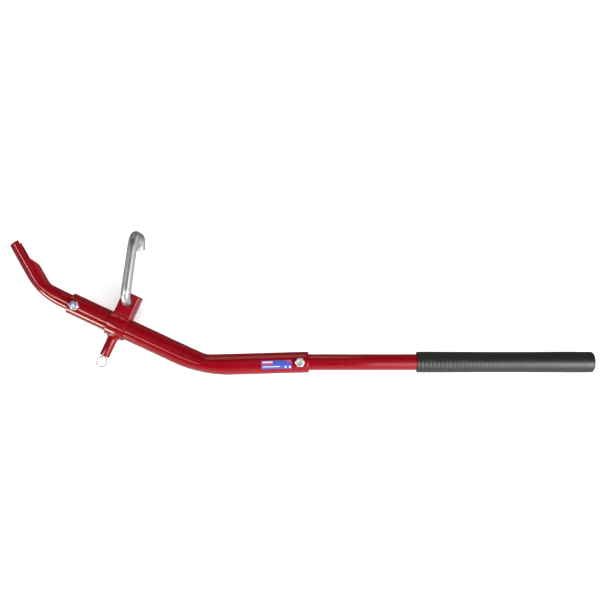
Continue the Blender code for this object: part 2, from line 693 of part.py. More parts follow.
def make_hook(collar):
    """The hook's frame has its origin on the pivot, at the lever's own level."""
    pivot = frame("hook_frame", collar, PIVOT_AT, HOOK_LEAN)
    hook = place("hook", bar("hook", hook_points(), HOOK_BAR, 6), pivot, finish=ZINC)

    ring = ring_profile(HOOK_BAR / 2 + GAP, WASHER_OD / 2, WASHER_LOW, WASHER_HIGH)
    turned("hook_washer", ring, pivot, finish=ZINC, sides=TUBE_SIDES, closed=True)

    pin_at = (0, 0, SPLIT_PIN_AT)
    hole = cylinder("split_pin_hole", SPLIT_PIN + 2 * SPLIT_PIN_PLAY, 2 * HOOK_BAR)
    combine(hook, place("split_pin_hole", hole, pivot, pin_at, ALONG_X))
    half = HOOK_BAR / 2 + SPLIT_PIN_STICKS_OUT
    leg_on, leg_aside = SPLIT_PIN_LEG
    eye = arc((-half - SPLIT_PIN_EYE, 0), SPLIT_PIN_EYE, 0, SPLIT_PIN_EYE_TURN, 10)
    points = [(half + leg_on, leg_aside, 0), (half, 0, 0)] + [(x, y, 0) for x, y in eye]
    place("hook_split_pin", bar("hook_split_pin", points, SPLIT_PIN, 2), pivot, pin_at, finish=ZINC)


def stand_on_origin(assembly):
    """Moves the whole tool so that the middle of its box's underside is the origin."""
    bpy.context.view_layer.update()
    graph = bpy.context.evaluated_depsgraph_get()
    low = Vector((math.inf,) * 3)
    high = Vector((-math.inf,) * 3)
    for obj in PARTS.objects:
        if obj.type != "MESH":
            continue
        shape = obj.evaluated_get(graph)
        for vertex in shape.data.vertices:
            point = shape.matrix_world @ vertex.co
            low = Vector(map(min, low, point))
            high = Vector(map(max, high, point))
    assembly.location = (-(low.x + high.x) / 2, -(low.y + high.y) / 2, -low.z)


clear_scene()
PARTS = collection("suspension_arm_lever")
CUTTERS = collection("cutters")
ASSEMBLY = frame("assembly")
ARM = frame("arm_frame", ASSEMBLY, (0, 0, 0), -ARM_SLOPE)
make_lever(ARM)
make_toe(ARM)
make_bolt("toe", ARM, (-TOE_BOLT_X, 0, 0), -1, HEX_TURN_TOE)
make_handle(ARM)
make_bolt("handle", ARM, HANDLE_BOLT_AT, 1, HEX_TURN_HANDLE)
make_label(ARM)
COLLAR = make_collar(ARM)
make_hook(COLLAR)
stand_on_origin(ASSEMBLY)
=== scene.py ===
"""The looks of a suspension arm lever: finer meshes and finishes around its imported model.

Metres, in the model's own frame: +X along the handle, +Y to the hook's side, +Z up.
"""

import json
import math
import random

import bmesh
import bpy
from mathutils import Matrix, Vector


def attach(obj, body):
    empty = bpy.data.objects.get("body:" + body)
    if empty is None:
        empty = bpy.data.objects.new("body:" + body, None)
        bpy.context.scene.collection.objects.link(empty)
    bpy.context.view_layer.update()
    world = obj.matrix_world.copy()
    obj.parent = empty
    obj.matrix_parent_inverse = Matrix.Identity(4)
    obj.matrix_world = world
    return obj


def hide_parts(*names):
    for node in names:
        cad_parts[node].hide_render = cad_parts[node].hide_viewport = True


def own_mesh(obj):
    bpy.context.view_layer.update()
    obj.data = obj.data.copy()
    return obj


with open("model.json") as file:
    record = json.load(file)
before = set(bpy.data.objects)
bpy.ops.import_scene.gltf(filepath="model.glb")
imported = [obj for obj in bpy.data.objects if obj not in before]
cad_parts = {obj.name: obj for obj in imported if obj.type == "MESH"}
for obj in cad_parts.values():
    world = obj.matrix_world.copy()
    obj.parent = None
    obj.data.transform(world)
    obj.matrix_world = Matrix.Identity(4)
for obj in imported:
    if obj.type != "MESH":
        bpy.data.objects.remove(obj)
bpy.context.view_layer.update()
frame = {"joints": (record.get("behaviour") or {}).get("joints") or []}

RANDOM = random.Random(7)
NODE_JOINTS = {joint["name"]: joint for joint in frame["joints"]}

# Sizes of the model
GAP = 0.0003
LEVER_RADIUS = 0.021
LEVER_WALL = 0.0035
ARM_LENGTH = 0.293
SOCKET_LENGTH = 0.210
LEVER_BEND = math.radians(26.7)
LEVER_BEND_RADIUS = 0.265
SOCKET_SLOPE = math.radians(1.65)
TOE_RADIUS = 0.016
TOE_WALL = 0.0032
TOE_TILT = math.radians(0.95)
TOE_BEND = math.radians(34.9)
TOE_BEND_RADIUS = 0.142
TOE_SHANK = 0.0746
TOE_TIP = 0.1084
TOE_INSERT = 0.045
TOE_BOLT_X = ARM_LENGTH - 0.0145
TROUGH_DEPTH = 0.0117
TROUGH_TURN = math.radians(-8)
TROUGH_FLAT = 0.0335
TROUGH_RAMP = 0.029
HANDLE_RADIUS = 0.016
HANDLE_WALL = 0.003
HANDLE_INSERT = 0.038
HANDLE_REACH = 0.5857
HANDLE_BOLT_RISE = 0.0004
SOCKET_BOLT = SOCKET_LENGTH - 0.0175
GRIP_LENGTH = 0.3523
GRIP_RADIUS = 0.021
GRIP_END = 0.0105
GRIP_WAIST = 0.0005
GRIP_CORNER = 0.005
BOLT_RADIUS = 0.005
BOLT_HOLE = 0.0053
HEX_FLATS = 0.017
HEX_CHAMFER = 0.00034
HEX_CHAMFER_SLOPE = math.tan(math.radians(35))
HEAD_HEIGHT = 0.0064
NUT_HEX_HEIGHT = 0.008
NUT_COLLAR_HEIGHT = 0.0026
NUT_COLLAR_RADIUS = 0.0076
INSERT_RADIUS = 0.0063
INSERT_DEPTH = 0.0024
THREAD_SHOWING = 0.002
THREAD_PITCH = 0.0015
THREAD_DEPTH = 0.0007
HEX_TURN_TOE = math.radians(12)
HEX_TURN_HANDLE = math.radians(28)
LABEL_LENGTH = 0.061
LABEL_HEIGHT = 0.0188
LABEL_THICKNESS = 0.0003
LABEL_X = SOCKET_BOLT - 0.016 - LABEL_LENGTH
LABEL_TURN = math.radians(-8)
COLLAR_FROM_VERTEX = 0.1877
SLEEVE_LENGTH = 0.0383
SLEEVE_BORE = 0.0214
SLEEVE_RADIUS = 0.0255
BRACKET_WIDTH = 0.0365
BRACKET_DEPTH = 0.036
BRACKET_WALL = 0.0035
BRACKET_CORNER = 0.0045
BRACKET_TOP = SLEEVE_RADIUS + 0.0425
BRACKET_X = (SLEEVE_LENGTH - BRACKET_WIDTH) / 2
PIVOT_AT = Vector((BRACKET_X - 0.0015, SLEEVE_RADIUS + 0.0255, 0))
PIVOT_HOLE = 0.011
BARREL_RADIUS = 0.010
BARREL_BORE = 0.007
BARREL_END = SLEEVE_RADIUS + 0.042
BARREL_WELD_WIDTH = 0.0042
BARREL_WELD_HEIGHT = 0.0065
NOSE_RADIUS = 0.004
NOSE_HOLE = 0.0045
SHOULDER_NEAR = SLEEVE_RADIUS + 0.0055
SHOULDER_FAR = SHOULDER_NEAR + 0.004
SHOULDER_RADIUS = BARREL_BORE - GAP
TAIL_RADIUS = 0.003
TAIL_HOLE_AT = BARREL_END + 0.0023
TAIL_HOLE = 0.0016
TAIL_END = TAIL_HOLE_AT + 0.0027
BUSH_BORE = 0.0033
BUSH_HIGH = BARREL_END - 0.0005
BUSH_LOW = BUSH_HIGH - 0.008
SPRING_WIRE = 0.0012
SPRING_TURNS = 6.5
RING_WIRE = 0.001
RING_MEAN = 0.01025
INDEX_PITCH = 0.025
INDEX_HOLES = 7
INDEX_OFFSET = 4.5
HOOK_RADIUS = 0.0095
HOOK_LEAN = math.radians(16.9)
HOOK_REACH = 0.131
HOOK_BEND = 0.022
HOOK_LEG_DROP = 0.010
HOOK_TIP_TURN = math.radians(62)
HOOK_TIP_LENGTH = 0.010
HOOK_TIP_STEPS = 20
WASHER_RADIUS = 0.017
WASHER_HIGH = -BRACKET_DEPTH / 2 - GAP
WASHER_LOW = WASHER_HIGH - 0.0025
SPLIT_PIN_RADIUS = 0.0016
SPLIT_PIN_AT = WASHER_LOW - GAP - SPLIT_PIN_RADIUS
HOOK_TAIL_AT = SPLIT_PIN_AT - 0.0078
SHANK_AT = BRACKET_DEPTH / 2 + 0.0145 + HOOK_RADIUS

# How finely the shapes are made
SIDES = 96
SMALL_SIDES = 64
BEND_STEPS = 48
EDGE_STEPS = 5
SHARP = math.radians(40)  # a steeper edge is shaded sharp
CARVED_SHARP = math.radians(35)
EASE = 0.0007  # rounding of a cut edge
TROUGH_EASE = 0.00055
SUNK = 0.0003  # how far a welded foot goes into what it stands on
THROUGH = 0.1  # a cutter's length where it goes right through
BEND_SOFTNESS = math.radians(2)
QUARTER = math.pi / 2
ALONG_X = Matrix.Rotation(QUARTER, 4, "Y")
OVER = Matrix.Rotation(math.pi, 4, "X")


# Frames, from the joints of the model


def turn_z(angle):
    return Matrix.Rotation(angle, 4, "Z")


def shift(x, y=0.0, z=0.0):
    return Matrix.Translation((x, y, z))


def arm_place():
    """The arm's frame: its origin at the bend's vertex, +X along the arm, +Y to the hook."""
    along = Vector(NODE_JOINTS["collar_slide"]["axis"])
    turned = turn_z(math.atan2(along.y, along.x))
    pivot = Vector(NODE_JOINTS["hook_swing"]["pos_m"])
    from_vertex = PIVOT_AT - Vector((COLLAR_FROM_VERTEX, 0, 0))
    return Matrix.Translation(pivot - turned @ from_vertex) @ turned


ARM = arm_place()
TOE = ARM @ shift(-TOE_BOLT_X) @ turn_z(math.pi - TOE_TILT)
SOCKET = ARM @ turn_z(LEVER_BEND)
HANDLE_BOLT = SOCKET @ shift(SOCKET_BOLT, HANDLE_BOLT_RISE)
HANDLE = HANDLE_BOLT @ turn_z(-SOCKET_SLOPE)
COLLAR = ARM @ shift(-COLLAR_FROM_VERTEX)
PLUNGER = COLLAR @ Matrix.Rotation(QUARTER, 4, "X")
RING = PLUNGER @ shift(0, 0, TAIL_HOLE_AT)
HOOK = COLLAR @ Matrix.Translation(PIVOT_AT) @ turn_z(HOOK_LEAN)


# Mesh building


def finished(bm, name, sharp=SHARP):
    """The bmesh as a smooth mesh, its faces outwards."""
    bmesh.ops.recalc_face_normals(bm, faces=bm.faces)
    mesh = bpy.data.meshes.new(name)
    bm.to_mesh(mesh)
    bm.free()
    mesh.shade_smooth()
    mesh.set_sharp_from_angle(angle=sharp)
    return mesh


def skin(bm, loops, closed=False):
    """Quads between neighbouring loops of points. A loop of one point is a pole."""
    rings = [[bm.verts.new(point) for point in loop] for loop in loops]
    pairs = list(zip(rings, rings[1:]))
    if closed:
        pairs.append((rings[-1], rings[0]))
    for ring, other in pairs:
        count = max(len(ring), len(other))
        for i in range(count):
            j = (i + 1) % count
            if len(ring) == 1:
                bm.faces.new((ring[0], other[j], other[i]))
            elif len(other) == 1:
                bm.faces.new((ring[i], ring[j], other[0]))
            else:
                bm.faces.new((ring[i], ring[j], other[j], other[i]))
    return rings


def skinned(name, loops, closed=False):
    bm = bmesh.new()
    skin(bm, loops, closed)
    return finished(bm, name)


def circle(radius, height, sides):
    """A loop about Z, or its pole where the radius is nothing."""
    if radius == 0:
        return [Vector((0, 0, height))]
    turns = [2 * math.pi * i / sides for i in range(sides)]
    return [Vector((radius * math.cos(a), radius * math.sin(a), height)) for a in turns]


def lathe(name, profile, sides=SIDES, closed=True):
    """An outline of (radius, height) turned about Z."""
    return skinned(name, [circle(radius, height, sides) for radius, height in profile], closed)


def fillet(corners, radius=EASE, closed=True, steps=4):
    """The outline with its corners rounded. A corner's third value is its own radius."""
    longest = 0.48  # of the shorter edge
    rounded = []
    last = len(corners) - 1
    for i, corner in enumerate(corners):
        here = Vector(corner[:2])
        own = corner[2] if len(corner) > 2 else radius
        if own == 0 or (not closed and i in (0, last)):
            rounded.append(tuple(here))
            continue
        back = Vector(corners[i - 1][:2]) - here
        on = Vector(corners[(i + 1) % len(corners)][:2]) - here
        half = back.angle(on) / 2
        reach = min(own / math.tan(half), longest * min(back.length, on.length))
        towards = (back.normalized() + on.normalized()).normalized()
        centre = here + towards * (reach / math.cos(half))
        start = here + back.normalized() * reach - centre
        end = here + on.normalized() * reach - centre
        first = math.atan2(start.y, start.x)
        turn = (math.atan2(end.y, end.x) - first + math.pi) % (2 * math.pi) - math.pi
        for k in range(steps + 1):
            angle = first + turn * k / steps
            x = centre.x + start.length * math.cos(angle)
            y = centre.y + start.length * math.sin(angle)
            rounded.append((x, y))
    return rounded


def arc(centre, radius, start, end, steps):
    angles = [start + (end - start) * i / steps for i in range(steps + 1)]
    return [(centre[0] + radius * math.cos(a), centre[1] + radius * math.sin(a)) for a in angles]


def sweep(name, path, radius, sides, ease=None, squash=None):
    """A round bar along an open path, its ends rounded. squash(i) is its section's two factors."""
    ease = radius * 0.5 if ease is None else ease
    points = [Vector(point) for point in path]
    ahead = [(b - a).normalized() for a, b in zip(points, points[1:])]
    tangents = [ahead[0]] + [(a + b).normalized() for a, b in zip(ahead, ahead[1:])] + [ahead[-1]]
    side = tangents[0].orthogonal().normalized()
    loops = []
    for i, (point, tangent) in enumerate(zip(points, tangents)):
        side = (side - tangent * side.dot(tangent)).normalized()
        other = tangent.cross(side)
        wide, high = squash(i) if squash else (1, 1)
        if i == 0:
            loops += end_loops(point, tangent, side, other, radius, ease, sides)
        elif i == len(points) - 1:
            loops += reversed(end_loops(point, -tangent, side, other, radius, ease, sides))
        else:
            loops.append(ring_at(point, side * wide, other * high, radius, sides))
    return skinned(name, loops)


def ring_at(middle, side, other, radius, sides):
    turns = [2 * math.pi * k / sides for k in range(sides)]
    return [middle + (side * math.cos(a) + other * math.sin(a)) * radius for a in turns]


def end_loops(point, inward, side, other, radius, ease, sides):
    """From the pole of a bar's end round its edge."""
    loops = [[point], ring_at(point, side, other, (radius - ease) / 2, sides)]
    for k in range(EDGE_STEPS + 1):
        angle = QUARTER * k / EDGE_STEPS
        middle = point + inward * ease * (1 - math.cos(angle))
        loops.append(ring_at(middle, side, other, radius - ease * (1 - math.sin(angle)), sides))
    return loops


def carved(mesh, cutters):
    """The mesh less the cutters, all in its own frame."""
    target = bpy.data.objects.new("carved", mesh)
    bpy.context.scene.collection.objects.link(target)
    tools = []
    for cutter in cutters:
        tool = bpy.data.objects.new("cutter", cutter)
        bpy.context.scene.collection.objects.link(tool)
        tools.append(tool)
        modifier = target.modifiers.new("cut", "BOOLEAN")
        modifier.object = tool
        modifier.solver = "EXACT"
    graph = bpy.context.evaluated_depsgraph_get()
    made = bpy.data.meshes.new_from_object(target.evaluated_get(graph))
    for obj in [target] + tools:
        bpy.data.objects.remove(obj)
    made.name = mesh.name
    made.shade_smooth()
    made.set_sharp_from_angle(angle=CARVED_SHARP)
    return made


def bore(radius, length, place):
    """A round cutter along its own Z, centred."""
    half = length / 2
    outline = [(0, half), (radius, half), (radius, -half), (0, -half)]
    mesh = lathe("bore", outline, SMALL_SIDES, closed=False)
    mesh.transform(place)
    return mesh


def piece(name, mesh, place, body, finish):
    """A visible piece that rides on a body and stands for the model's node of its name."""
    mesh.transform(place)
    obj = bpy.data.objects.new(name + "_fine", mesh)
    bpy.context.scene.collection.objects.link(obj)
    if not mesh.materials:
        mesh.materials.append(finish)
    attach(obj, body)
    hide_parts(name)
    return obj


# Tubes


def bent_sections(radius, leg_a, leg_b, bend, outer_radius, stride):
    """Sections from -X through a bend at the origin towards +Y. Each is its middle, the way to
    the inner side, half its height and half its width. The inner side is two straight lines that
    meet in a soft kink, and the outer side is an arc."""
    tangent = (outer_radius - radius) * math.tan(bend / 2)
    hub = Vector((-tangent, outer_radius - radius, 0))
    inner = outer_radius - 2 * radius
    sections = []
    count = max(2, round((leg_a - tangent) / stride))
    for i in range(count):
        x = -leg_a + (leg_a - tangent) * i / count
        sections.append((Vector((x, 0, 0)), Vector((0, 1, 0)), radius, radius))
    slack = math.hypot(bend / 2, BEND_SOFTNESS) - bend / 2
    for i in range(BEND_STEPS + 1):
        turn = bend * i / BEND_STEPS
        from_end = bend / 2 + slack - math.hypot(turn - bend / 2, BEND_SOFTNESS)
        away = Vector((math.sin(turn), -math.cos(turn), 0))
        near = inner / math.cos(from_end)
        high = (outer_radius - near) / 2
        wide = math.sqrt(2 * radius**2 - high**2)
        sections.append((hub + away * (outer_radius + near) / 2, -away, high, wide))
    way = Vector((math.cos(bend), math.sin(bend), 0))
    inward = Vector((-math.sin(bend), math.cos(bend), 0))
    count = max(2, round((leg_b - tangent) / stride))
    for i in range(1, count + 1):
        on = tangent + (leg_b - tangent) * i / count
        sections.append((way * on, inward, radius, radius))
    return sections


def section_loop(section, inset):
    middle, inward, high, wide = section
    across = Vector((0, 0, 1))
    loop = []
    for i in range(SIDES):
        a = 2 * math.pi * i / SIDES
        up = inward * (high - inset) * math.cos(a)
        out = across * (wide - inset) * math.sin(a)
        loop.append(middle + up + out)
    return loop


def bent_tube(name, sections, wall):
    """A closed skin: along the outside, round a rim, back along the bore, round the other rim."""
    loops = []
    for end, inwards in ((-1, sections[-2]), (0, sections[1])):
        middle, inward, high, wide = sections[end]
        back = (inwards[0] - middle).normalized()
        along = sections[1:-1] if end else sections[-2:0:-1]
        loops += [section_loop(section, 0 if end else wall) for section in along]
        rim = []
        for k in range(EDGE_STEPS + 1):
            angle = QUARTER * k / EDGE_STEPS
            moved = (middle + back * EASE * (1 - math.sin(angle)), inward, high, wide)
            rim.append(section_loop(moved, EASE * (1 - math.cos(angle))))
        for k in range(EDGE_STEPS + 1):
            angle = QUARTER * (1 - k / EDGE_STEPS)
            moved = (middle + back * EASE * (1 - math.sin(angle)), inward, high, wide)
            rim.append(section_loop(moved, wall - EASE * (1 - math.cos(angle))))
        loops += rim if end else reversed(rim)
    return skinned(name, loops, closed=True)


def make_lever(finish):
    sections = bent_sections(
        LEVER_RADIUS, ARM_LENGTH, SOCKET_LENGTH, LEVER_BEND, LEVER_BEND_RADIUS, stride=0.006
    )
    mesh = bent_tube("lever_tube", sections, LEVER_WALL)
    handle_bolt = turn_z(LEVER_BEND) @ shift(SOCKET_BOLT, HANDLE_BOLT_RISE)
    cutters = [
        bore(BOLT_HOLE, THROUGH, shift(-TOE_BOLT_X)),
        bore(BOLT_HOLE, THROUGH, handle_bolt),
    ]
    for i in range(INDEX_HOLES):
        x = -COLLAR_FROM_VERTEX + INDEX_PITCH * (INDEX_OFFSET - i)
        place = shift(x, -LEVER_RADIUS) @ Matrix.Rotation(QUARTER, 4, "X")
        cutters.append(bore(NOSE_HOLE, LEVER_RADIUS, place))
    piece("lever_tube", carved(mesh, cutters), ARM, "lever", finish)


def trough_cutter():
    """The space cut away from the toe's tip, in the tip's frame: X back along it, Y inwards."""
    top = 4 * TOE_RADIUS
    floor = TOE_RADIUS - TROUGH_DEPTH
    past_tip = 0.03
    past_side = 0.04
    steps = 24
    outline = [(-past_tip, top), (-past_tip, floor), (TROUGH_FLAT, floor)]
    for i in range(1, steps + 1):
        share = i / steps
        rise = TROUGH_DEPTH * share**2 * (3 - 2 * share)
        outline.append((TROUGH_FLAT + TROUGH_RAMP * share, floor + rise))
    outline.append((TROUGH_FLAT + TROUGH_RAMP, top))
    bm = bmesh.new()
    loops = [[Vector((x, y, z)) for x, y in outline] for z in (-past_side, past_side)]
    for ring in skin(bm, loops):
        bm.faces.new(ring)
    return finished(bm, "trough")


def make_toe(finish):
    shank = TOE_SHANK + TOE_INSERT
    sections = bent_sections(TOE_RADIUS, shank, TOE_TIP, TOE_BEND, TOE_BEND_RADIUS, stride=0.004)
    mesh = bent_tube("toe_tube", sections, TOE_WALL)
    # The sections bend to +Y, and the toe bends the other way in its own frame.
    mesh.transform(shift(TOE_SHANK) @ OVER)
    way = Vector((math.cos(TOE_BEND), -math.sin(TOE_BEND), 0))
    tip = Vector((TOE_SHANK, 0, 0)) + way * TOE_TIP
    cutter = trough_cutter()
    at_tip = Matrix.Translation(tip) @ turn_z(math.pi - TOE_BEND)
    cutter.transform(at_tip @ Matrix.Rotation(TROUGH_TURN, 4, "X"))
    made = soft_edged(carved(mesh, [cutter]), TROUGH_EASE)
    piece("toe_tube", made, TOE, "lever", finish)


def soft_edged(mesh, width):
    """The mesh with its sharp edges rounded."""
    limit = math.radians(50)
    merged = 0.00002
    bm = bmesh.new()
    bm.from_mesh(mesh)
    bmesh.ops.remove_doubles(bm, verts=bm.verts, dist=merged)
    edges = [e for e in bm.edges if len(e.link_faces) == 2 and e.calc_face_angle(0) > limit]
    bmesh.ops.bevel(
        bm, geom=edges, offset=width, segments=3, profile=0.5, affect="EDGES", clamp_overlap=True
    )
    return finished(bm, mesh.name, limit)


def make_handle(tube_finish, grip_finish):
    bore_radius = HANDLE_RADIUS - HANDLE_WALL
    end = HANDLE_REACH - GRIP_END - GAP
    outline = [(HANDLE_RADIUS, end), (HANDLE_RADIUS, -HANDLE_INSERT)]
    outline += [(bore_radius, -HANDLE_INSERT), (bore_radius, end)]
    mesh = lathe("handle_tube", fillet(outline))
    piece("handle_tube", mesh, HANDLE @ ALONG_X, "lever", tube_finish)
    mesh = lathe("handle_grip", grip_profile(), closed=False)
    piece("handle_grip", mesh, HANDLE @ ALONG_X, "lever", grip_finish)


def grip_profile():
    """From the middle of the closed end, down the side, round the lip and up the bore. The grooves
    round the side are shallow, and fade towards the closed end."""
    pitch = 0.0079
    depth = 0.0004
    lip = 0.0012
    mouth = 0.0008
    dished = [(0, 0.0004), (0.006, 0.0003), (0.012, 0)]
    inner = HANDLE_RADIUS + GAP
    start = HANDLE_REACH - GRIP_LENGTH
    flat = GRIP_RADIUS - GRIP_CORNER
    points = [(radius, HANDLE_REACH - drop) for radius, drop in dished]
    points += arc((flat, HANDLE_REACH - GRIP_CORNER), GRIP_CORNER, QUARTER, 0, 8)
    high = HANDLE_REACH - GRIP_CORNER - 0.001
    low = start + 0.0016
    count = round((high - low) / pitch * 8)
    for i in range(count + 1):
        share = i / count
        height = high - (high - low) * share
        fade = 0.10 + 0.90 * share**1.6
        wave = 0.5 - 0.5 * math.cos(2 * math.pi * (height - start) / pitch)
        groove = depth * fade * wave ** 2.5
        waist = GRIP_WAIST * math.sin(math.pi * share) ** 2
        points.append((GRIP_RADIUS - waist - groove, height))
    points += arc((GRIP_RADIUS - lip, start + lip), lip, 0, -QUARTER, 5)
    points += arc((inner + mouth, start + mouth), mouth, -QUARTER, -math.pi, 4)
    points += [(inner, HANDLE_REACH - GRIP_END), (0, HANDLE_REACH - GRIP_END)]
    return points


# Fasteners


def hex_loop(turn, height_at):
    """A loop round a hexagon. height_at gives a point's height from its distance to the axis."""
    loop = []
    for i in range(SIDES):
        angle = 2 * math.pi * i / SIDES
        off = (angle + math.pi / 6) % (math.pi / 3) - math.pi / 6
        radius = HEX_FLATS / 2 / math.cos(math.pi / 6 - abs(off))
        x = radius * math.cos(angle + turn)
        y = radius * math.sin(angle + turn)
        loop.append(Vector((x, y, height_at(radius))))
    return loop


def turned_circle(radius, height, turn):
    """A circle whose points line up with a turned hexagon's."""
    angles = [2 * math.pi * i / SIDES + turn for i in range(SIDES)]
    return [Vector((radius * math.cos(a), radius * math.sin(a), height)) for a in angles]


def hex_side(low, high, turn):
    """Loops down a hexagon's side, from its upper chamfer's circle to its foot."""
    flat = HEX_FLATS / 2 - HEX_CHAMFER
    ease = 0.00025
    foot = 0.97
    return [
        turned_circle(flat, high, turn),
        hex_loop(turn, lambda radius: high - (radius - flat) * HEX_CHAMFER_SLOPE),
        hex_loop(turn, lambda radius: low + ease),
        [Vector((p.x * foot, p.y * foot, low)) for p in hex_loop(turn, lambda radius: low)],
    ]


def thread_loops(low, high, turn):
    """A helical thread, from high to low, that runs out at its lower end."""
    run_out = 0.0013
    count = round((high - low) / THREAD_PITCH * 10)
    loops = []
    for i in range(count + 1):
        z = high + (low - high) * i / count
        loop = []
        for k in range(SIDES):
            angle = 2 * math.pi * k / SIDES + turn
            phase = (z / THREAD_PITCH + k / SIDES) % 1
            groove = THREAD_DEPTH * abs(2 * phase - 1)
            point = min(1.0, (z - low) / run_out)
            radius = min(BOLT_RADIUS - groove, BOLT_RADIUS - run_out * (1 - point))
            loop.append(Vector((radius * math.cos(angle), radius * math.sin(angle), z)))
        loops.append(loop)
    return loops


def make_bolt(name, place, turn, finish, nylon):
    """The head above, the nut below, about the frame's Z."""
    seat = LEVER_RADIUS + GAP
    head = seat + HEAD_HEIGHT
    top = seat + NUT_HEX_HEIGHT + NUT_COLLAR_HEIGHT
    tip = -top - THREAD_SHOWING
    thread_start = -seat - 0.001
    dish = 0.0052
    drop = 0.0004
    rim = [(dish * 0.55, drop), (dish * 0.86, 0.00035), (dish, 0.0001), (dish + 0.0003, 0)]
    loops = [[Vector((0, 0, head - drop))]]
    loops += [turned_circle(radius, head - low, turn) for radius, low in rim]
    loops += hex_side(seat, head, turn)
    loops.append(turned_circle(BOLT_RADIUS, seat, turn))
    loops.append(turned_circle(BOLT_RADIUS, thread_start, turn))
    loops += thread_loops(tip, thread_start, turn)
    loops.append([Vector((0, 0, tip))])
    piece(f"{name}_bolt", skinned(f"{name}_bolt", loops), place, "lever", finish)

    inner = BOLT_RADIUS + GAP
    pocket = INSERT_RADIUS + GAP
    lip = NUT_COLLAR_RADIUS
    crown = 0.001
    countersink = 0.0008
    hex_top = seat + NUT_HEX_HEIGHT
    insert_foot = top - INSERT_DEPTH
    loops = hex_side(seat, hex_top, turn)[::-1]
    collar = [(lip + 0.0004, hex_top), (lip, hex_top + 0.0003)]
    collar += arc((lip - crown, top - crown), crown, 0, QUARTER, 6)
    collar += [(pocket, top - 0.0001), (pocket, insert_foot - GAP), (inner, insert_foot - GAP)]
    collar += [(inner, seat + countersink), (inner + countersink, seat)]
    loops += [turned_circle(radius, height, turn) for radius, height in collar]
    mesh = skinned(f"{name}_nut", loops, closed=True)
    piece(f"{name}_nut", mesh, place @ OVER, "lever", finish)

    ring = [(inner, insert_foot), (INSERT_RADIUS, insert_foot)]
    ring += [(INSERT_RADIUS, top - GAP), (inner, top - GAP)]
    mesh = lathe(f"{name}_nut_insert", fillet(ring, 0.0003), SMALL_SIDES)
    piece(f"{name}_nut_insert", mesh, place @ OVER, "lever", nylon)


# Label

# Each block: left, right, low and high as shares of the label, and its ink.
BORDER, FIELD, WHITE, RED = range(4)
LABEL_BLOCKS = (
    (0.02, 0.98, 0.06, 0.94, FIELD),
    (0.05, 0.38, 0.72, 0.86, WHITE),
    (0.05, 0.38, 0.52, 0.67, RED),
    (0.05, 0.62, 0.27, 0.35, WHITE),
    (0.83, 0.97, 0.76, 0.94, RED),
    (0.77, 0.82, 0.14, 0.36, WHITE),
    (0.91, 0.955, 0.14, 0.36, WHITE),
)


def make_label(inks):
    """A sticker wrapped on the socket's front, printed with plain blocks."""
    steps = 24
    lift = 0.00005
    columns = sorted({0.0, 1.0} | {edge for block in LABEL_BLOCKS for edge in block[:2]})
    edges = {0.0, 1.0} | {edge for block in LABEL_BLOCKS for edge in block[2:4]}
    rows = sorted(edges | {round(i / steps, 4) for i in range(steps + 1)})
    radius = LEVER_RADIUS + lift
    bm = bmesh.new()

    def layer(r):
        grid = []
        for u in columns:
            x = u * LABEL_LENGTH
            line = []
            for v in rows:
                angle = LABEL_TURN + LABEL_HEIGHT / LEVER_RADIUS * (v - 0.5)
                line.append(bm.verts.new((x, r * math.sin(angle), r * math.cos(angle))))
            grid.append(line)
        return grid

    low, high = layer(radius), layer(radius + LABEL_THICKNESS)
    for i in range(len(columns) - 1):
        for j in range(len(rows) - 1):
            u = (columns[i] + columns[i + 1]) / 2
            v = (rows[j] + rows[j + 1]) / 2
            ink = BORDER
            for left, right, bottom, top, colour in LABEL_BLOCKS:
                if left < u < right and bottom < v < top:
                    ink = colour
            face = bm.faces.new((high[i][j], high[i + 1][j], high[i + 1][j + 1], high[i][j + 1]))
            face.material_index = ink
            bm.faces.new((low[i][j], low[i][j + 1], low[i + 1][j + 1], low[i + 1][j]))
    last = len(columns) - 1
    for i in range(last):
        bm.faces.new((low[i][0], low[i + 1][0], high[i + 1][0], high[i][0]))
        bm.faces.new((high[i][-1], high[i + 1][-1], low[i + 1][-1], low[i][-1]))
    for j in range(len(rows) - 1):
        bm.faces.new((high[0][j], high[0][j + 1], low[0][j + 1], low[0][j]))
        bm.faces.new((low[last][j], low[last][j + 1], high[last][j + 1], high[last][j]))
    mesh = finished(bm, "label")
    for ink in inks:
        mesh.materials.append(ink)
    piece("label", mesh, SOCKET @ shift(LABEL_X), "lever", inks[FIELD])


# Collar


def rounded_rectangle(width, depth, corner):
    half_w = width / 2
    half_d = depth / 2
    corners = [(half_w, half_d), (-half_w, half_d), (-half_w, -half_d), (half_w, -half_d)]
    return fillet(corners, corner, steps=8)


